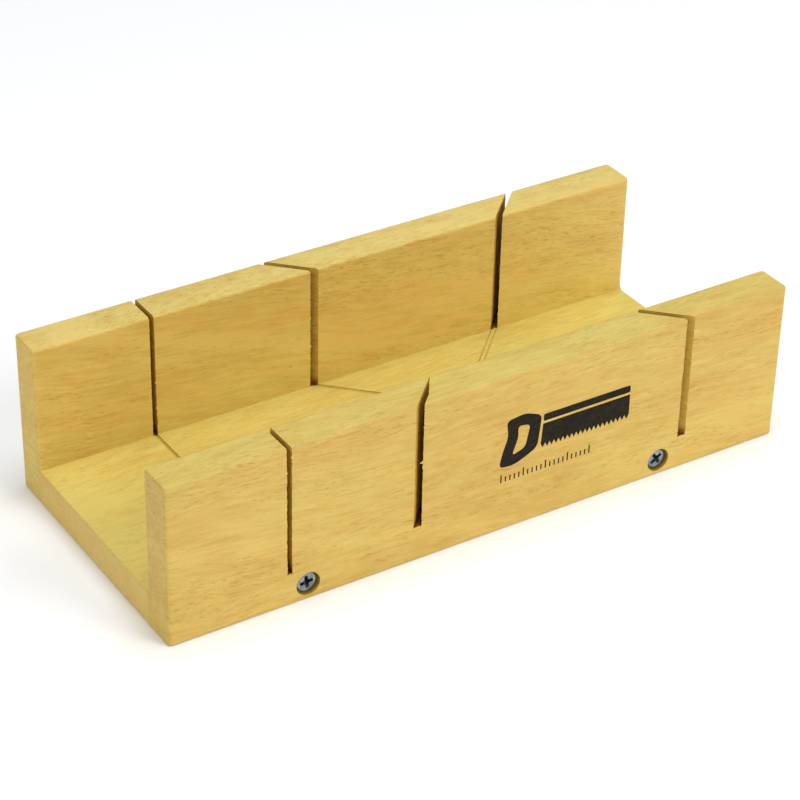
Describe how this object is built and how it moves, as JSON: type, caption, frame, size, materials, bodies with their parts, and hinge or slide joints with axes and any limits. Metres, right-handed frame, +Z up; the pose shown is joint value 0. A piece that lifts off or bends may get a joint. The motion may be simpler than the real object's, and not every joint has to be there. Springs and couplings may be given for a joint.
{
  "type": "miter box",
  "caption": "Open-ended wooden channel with slotted fences that hold a workpiece and guide a handsaw square across it or at a miter angle.",
  "frame": {"origin": "middle of the underside", "axes": "+X along the channel, -Y out of the front fence, +Z up"},
  "size_m": [0.3, 0.131, 0.075],
  "materials": {
    "fence_wood": "planed and sanded pale hardwood, unvarnished",
    "base_wood": "planed and sanded pale hardwood, unvarnished",
    "screw_steel": "bright zinc-plated steel"
  },
  "bodies": {
    "root": {"base_board": "base_wood", "front_fence": "fence_wood", "rear_fence": "fence_wood", "front_left_screw": "screw_steel", "front_right_screw": "screw_steel", "rear_left_screw": "screw_steel", "rear_right_screw": "screw_steel"}
  },
  "joints": []
}
